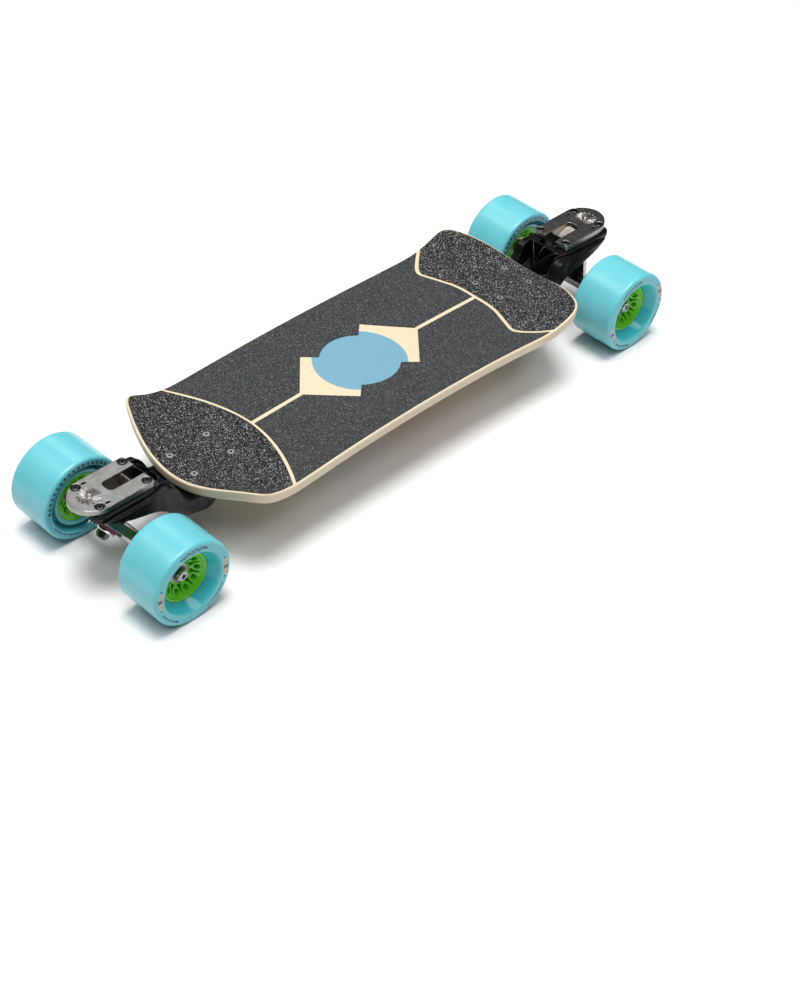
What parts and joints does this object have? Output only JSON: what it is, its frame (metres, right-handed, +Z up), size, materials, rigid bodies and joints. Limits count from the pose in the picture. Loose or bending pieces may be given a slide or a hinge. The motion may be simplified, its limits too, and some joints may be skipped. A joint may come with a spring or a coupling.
{
  "type": "longboard",
  "caption": "Drop-through longboard: cambered deck with flared corners and split grip sheets, moulded brackets at both ends, sprung trucks and large soft wheels",
  "frame": {"origin": "on the ground, under the centre of the bounding box", "axes": "+X towards the nose, +Y to the board's left, +Z up"},
  "size_m": [0.8448, 0.2466, 0.1173],
  "materials": {
    "deck_wood": "satin clear coat",
    "grip_coarse": "coarse grit, black",
    "grip_fine": "fine grit, slate grey",
    "bracket_black": "moulded, soft sheen",
    "cast_metal": "cast, satin",
    "steel": "bright",
    "chrome": "polished",
    "bolt_dark": "blackened",
    "bushing_red": "urethane, satin",
    "tyre_blue": "urethane, glossy",
    "core_green": "moulded, glossy",
    "bearing_dark": "satin"
  },
  "bodies": {
    "board": {"deck": "deck_wood", "grip_nose": "grip_coarse", "grip_tail": "grip_coarse", "grip_left": "grip_fine", "grip_right": "grip_fine", "bracket_nose": "bracket_black", "baseplate_nose": "cast_metal", "kingpin_nose": "chrome", "bushing_board_nose": "bushing_red", "bushing_road_nose": "bushing_red", "washer_board_nose": "chrome", "washer_road_nose": "chrome", "deck_bolt_nose_1": "bolt_dark", "deck_bolt_nose_2": "bolt_dark", "deck_bolt_nose_3": "bolt_dark", "deck_bolt_nose_4": "bolt_dark", "truck_bolt_nose_1": "bolt_dark", "truck_bolt_nose_2": "bolt_dark", "truck_bolt_nose_3": "bolt_dark", "truck_bolt_nose_4": "bolt_dark", "bracket_tail": "bracket_black", "baseplate_tail": "cast_metal", "kingpin_tail": "chrome", "bushing_board_tail": "bushing_red", "bushing_road_tail": "bushing_red", "washer_board_tail": "chrome", "washer_road_tail": "chrome", "deck_bolt_tail_1": "bolt_dark", "deck_bolt_tail_2": "bolt_dark", "deck_bolt_tail_3": "bolt_dark", "deck_bolt_tail_4": "bolt_dark", "truck_bolt_tail_1": "bolt_dark", "truck_bolt_tail_2": "bolt_dark", "truck_bolt_tail_3": "bolt_dark", "truck_bolt_tail_4": "bolt_dark"},
    "truck_nose": {"hanger_nose": "cast_metal", "axle_nose": "steel", "axle_nut_nose_left": "steel", "axle_nut_nose_right": "steel"},
    "wheel_nose_left": {"tyre_nose_left": "tyre_blue", "core_nose_left": "core_green", "bearing_inner_nose_left": "bearing_dark", "bearing_outer_nose_left": "bearing_dark"},
    "wheel_nose_right": {"tyre_nose_right": "tyre_blue", "core_nose_right": "core_green", "bearing_inner_nose_right": "bearing_dark", "bearing_outer_nose_right": "bearing_dark"},
    "truck_tail": {"hanger_tail": "cast_metal", "axle_tail": "steel", "axle_nut_tail_left": "steel", "axle_nut_tail_right": "steel"},
    "wheel_tail_left": {"tyre_tail_left": "tyre_blue", "core_tail_left": "core_green", "bearing_inner_tail_left": "bearing_dark", "bearing_outer_tail_left": "bearing_dark"},
    "wheel_tail_right": {"tyre_tail_right": "tyre_blue", "core_tail_right": "core_green", "bearing_inner_tail_right": "bearing_dark", "bearing_outer_tail_right": "bearing_dark"}
  },
  "joints": [
    {"name": "steering_nose", "type": "hinge", "parent": "board", "child": "truck_nose", "pos_m": [0.35817, 0, 0.05571], "axis": [0.6428, 0, 0.766], "range_deg": [-18, 18], "stiffness_Nm_per_rad": 30, "deforming": ["bushing_board_nose", "bushing_road_nose"]},
    {"name": "roll_nose_left", "type": "hinge", "parent": "truck_nose", "child": "wheel_nose_left", "pos_m": [0.362, 0.0923, 0.0525], "axis": [0, 1, 0], "continuous": true},
    {"name": "roll_nose_right", "type": "hinge", "parent": "truck_nose", "child": "wheel_nose_right", "pos_m": [0.362, -0.0923, 0.0525], "axis": [0, 1, 0], "continuous": true},
    {"name": "steering_tail", "type": "hinge", "parent": "board", "child": "truck_tail", "pos_m": [-0.35817, 0, 0.05571], "axis": [-0.6428, 0, 0.766], "range_deg": [-18, 18], "stiffness_Nm_per_rad": 30, "deforming": ["bushing_board_tail", "bushing_road_tail"]},
    {"name": "roll_tail_left", "type": "hinge", "parent": "truck_tail", "child": "wheel_tail_left", "pos_m": [-0.362, 0.0923, 0.0525], "axis": [0, 1, 0], "continuous": true},
    {"name": "roll_tail_right", "type": "hinge", "parent": "truck_tail", "child": "wheel_tail_right", "pos_m": [-0.362, -0.0923, 0.0525], "axis": [0, 1, 0], "continuous": true}
  ]
}
